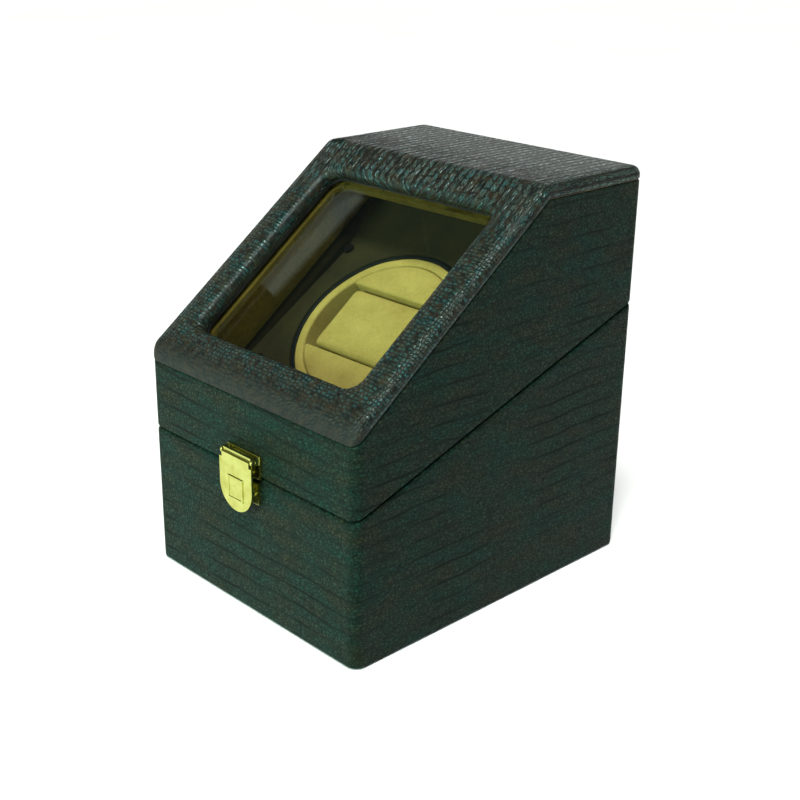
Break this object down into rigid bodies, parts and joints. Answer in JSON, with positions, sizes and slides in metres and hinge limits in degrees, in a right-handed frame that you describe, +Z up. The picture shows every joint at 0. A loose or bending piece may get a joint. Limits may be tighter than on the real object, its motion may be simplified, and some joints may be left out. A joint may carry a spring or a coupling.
{
  "type": "watch winder box",
  "caption": "Slant-fronted leather-covered box with a glazed hinged lid over a motor-turned drum that holds a watch cushion.",
  "frame": {"origin": "middle of the underside, on the plane of the felt that the box stands on", "axes": "+X to the viewer's right when facing the latch, +Y from the latch to the hinges, +Z up"},
  "size_m": [0.15, 0.1981, 0.2019],
  "materials": {
    "felt": "matt black felt",
    "board": "raw fibreboard",
    "case_leather": "reptile-embossed dark leatherette, satin",
    "cover_leather": "padded reptile-embossed dark brown leatherette, satin",
    "lid_suede": "red-brown suede cloth",
    "deck_suede": "dark olive-brown suede cloth",
    "beige_velvet": "short-pile beige velvet",
    "cushion_velvet": "short-pile beige velvet",
    "foam": "open foam",
    "black_plastic": "moulded black",
    "rocker_plastic": "moulded black, glossy",
    "cup_plastic": "moulded blue-black, glossy",
    "white_nylon": "natural nylon",
    "steel": "zinc plated",
    "black_screws": "black oxide",
    "bronze": "sintered bronze",
    "hinge_brass": "plated brass",
    "latch_gold": "polished gold plate",
    "circuit_laminate": "green solder mask",
    "wire_insulation": "red and black insulation",
    "glass": "clear float glass"
  },
  "bodies": {
    "base": {"bottom_felt": "felt", "bottom_panel": "board", "base_carcass": "board", "base_leather": "case_leather", "base_lining": "lid_suede", "module_cheeks": "deck_suede", "module_back": "deck_suede", "deck_panel": "deck_suede", "motor_plate": "steel", "plate_standoffs": "white_nylon", "standoff_screws": "steel", "shaft_bush": "bronze", "gear_motor": "steel", "motor_screws": "steel", "circuit_board": "circuit_laminate", "board_parts": "black_plastic", "board_standoffs": "white_nylon", "rear_plate": "black_plastic", "rear_plate_screws": "black_screws", "dc_jack": "black_plastic", "switch_body": "black_plastic", "wiring": "wire_insulation", "hinge_base_leaves": "hinge_brass", "hinge_pins": "hinge_brass", "hinge_base_screws": "hinge_brass", "latch_strike": "latch_gold", "strike_screws": "latch_gold"},
    "rocker": {"switch_rocker": "rocker_plastic"},
    "drum": {"drum_cup": "cup_plastic", "drum_lining": "beige_velvet", "drum_wings": "beige_velvet", "drum_hub": "black_plastic", "hub_screws": "steel", "drum_shaft": "steel", "drum_gear": "white_nylon", "shaft_clip": "steel"},
    "pinion": {"motor_pinion": "bronze", "motor_shaft": "steel"},
    "cushion": {"cushion_foam": "foam", "cushion_cover": "cushion_velvet", "cushion_end_caps": "cushion_velvet"},
    "lid": {"lid_carcass": "board", "lid_leather": "case_leather", "lid_lining": "lid_suede", "cover_board": "board", "cover_foam": "foam", "cover_leather": "cover_leather", "glass_gasket": "felt", "glass_pane": "glass", "glass_frame": "lid_suede", "frame_screws": "hinge_brass", "hinge_lid_leaves": "hinge_brass", "hinge_lid_screws": "hinge_brass", "latch_plate": "latch_gold", "latch_pin": "latch_gold", "latch_plate_screws": "latch_gold"},
    "flap": {"latch_flap": "latch_gold", "flap_knuckle": "latch_gold"}
  },
  "joints": [
    {"name": "lid_hinge", "type": "hinge", "parent": "base", "child": "lid", "pos_m": [0, 0.09505, 0.1343], "axis": [-1, 0, 0], "range_deg": [0, 95]},
    {"name": "latch_hinge", "type": "hinge", "parent": "lid", "child": "flap", "pos_m": [0, -0.09715, 0.082], "axis": [-1, 0, 0], "range_deg": [0, 100]},
    {"name": "drum_spin", "type": "hinge", "parent": "base", "child": "drum", "pos_m": [0, -0.01248, 0.12473], "axis": [0, -0.6023, 0.7982], "continuous": true},
    {"name": "pinion_spin", "type": "hinge", "parent": "base", "child": "pinion", "pos_m": [0, -0.03802, 0.10545], "axis": [0, -0.6023, 0.7982], "continuous": true},
    {"name": "cushion_slide", "type": "slide", "parent": "drum", "child": "cushion", "axis": [0, -0.6023, 0.7982], "range_m": [0, 0.02]},
    {"name": "switch_tilt", "type": "hinge", "parent": "base", "child": "rocker", "pos_m": [0.04, 0.09325, 0.028], "axis": [1, 0, 0], "range_deg": [0, 16]}
  ],
  "couplings": [
    {"joint": "pinion_spin", "follows": "drum_spin", "ratio": -3}
  ]
}
